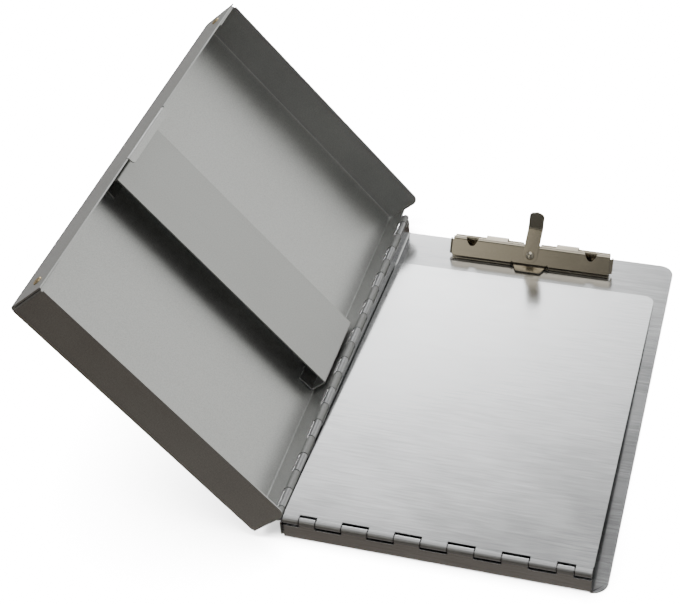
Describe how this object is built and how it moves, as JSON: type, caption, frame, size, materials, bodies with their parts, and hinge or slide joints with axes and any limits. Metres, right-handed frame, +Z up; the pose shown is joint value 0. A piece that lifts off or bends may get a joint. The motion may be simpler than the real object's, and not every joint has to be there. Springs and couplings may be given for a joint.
{
  "type": "clipboard form holder",
  "caption": "Folded aluminium form holder: a clipboard tray with a spring clip, a hinged writing plate and a deep side-opening lid with a pocket band.",
  "frame": {"origin": "centre of the tray's underside, on the surface it stands on", "axes": "+X away from the lid's hinge across the tray, +Y from the writing plate's hinge to the clip, +Z up"},
  "size_m": [0.2871, 0.2722, 0.1458],
  "materials": {
    "tray_aluminium": "satin, fine grain along X",
    "lid_aluminium": "satin, slightly darker inside",
    "clip_nickel": "nickel-plated steel, warm and smooth",
    "pin_steel": "drawn steel wire",
    "rivet_brass": "brass-tinted rivet heads"
  },
  "bodies": {
    "tray_base": {"tray": "tray_aluminium", "clip_bracket": "clip_nickel", "clip_mount_rivet_left": "clip_nickel", "clip_mount_rivet_right": "clip_nickel", "clip_hinge_rod": "pin_steel", "clip_spring": "pin_steel"},
    "side_pin": {"side_hinge_pin": "pin_steel"},
    "plate_pin": {"plate_hinge_pin": "pin_steel"},
    "lid": {"lid_shell": "lid_aluminium", "pocket_band": "lid_aluminium", "corner_rivet_near": "rivet_brass", "corner_rivet_far": "rivet_brass"},
    "plate": {"writing_plate": "tray_aluminium"},
    "jaw": {"clip_jaw": "clip_nickel", "clip_lever_rivet": "clip_nickel"},
    "lever": {"clip_lever": "clip_nickel"}
  },
  "joints": [
    {"name": "lid_hinge", "type": "hinge", "parent": "tray_base", "child": "lid", "pos_m": [-0.0832, 0, 0.0127], "axis": [0, -1, 0], "range_deg": [-126, 19]},
    {"name": "side_pin_spin", "type": "hinge", "parent": "tray_base", "child": "side_pin", "pos_m": [-0.0832, 0, 0.0127], "axis": [0, 1, 0], "continuous": true},
    {"name": "writing_plate_hinge", "type": "hinge", "parent": "tray_base", "child": "plate", "pos_m": [0, -0.128, 0.0115], "axis": [1, 0, 0], "range_deg": [0, 90]},
    {"name": "plate_pin_spin", "type": "hinge", "parent": "tray_base", "child": "plate_pin", "pos_m": [0, -0.128, 0.0115], "axis": [1, 0, 0], "continuous": true},
    {"name": "clip_jaw_hinge", "type": "hinge", "parent": "tray_base", "child": "jaw", "pos_m": [-0.0022, 0.121, 0.0096], "axis": [-1, 0, 0], "range_deg": [0, 28], "stiffness_Nm_per_rad": 0.3, "springref_deg": -57.3, "deforming": ["clip_spring"]},
    {"name": "lever_swivel", "type": "hinge", "parent": "jaw", "child": "lever", "pos_m": [-0.0022, 0.11457, 0.0075], "axis": [0, -0.866, 0.5], "range_deg": [-85, 95]}
  ]
}
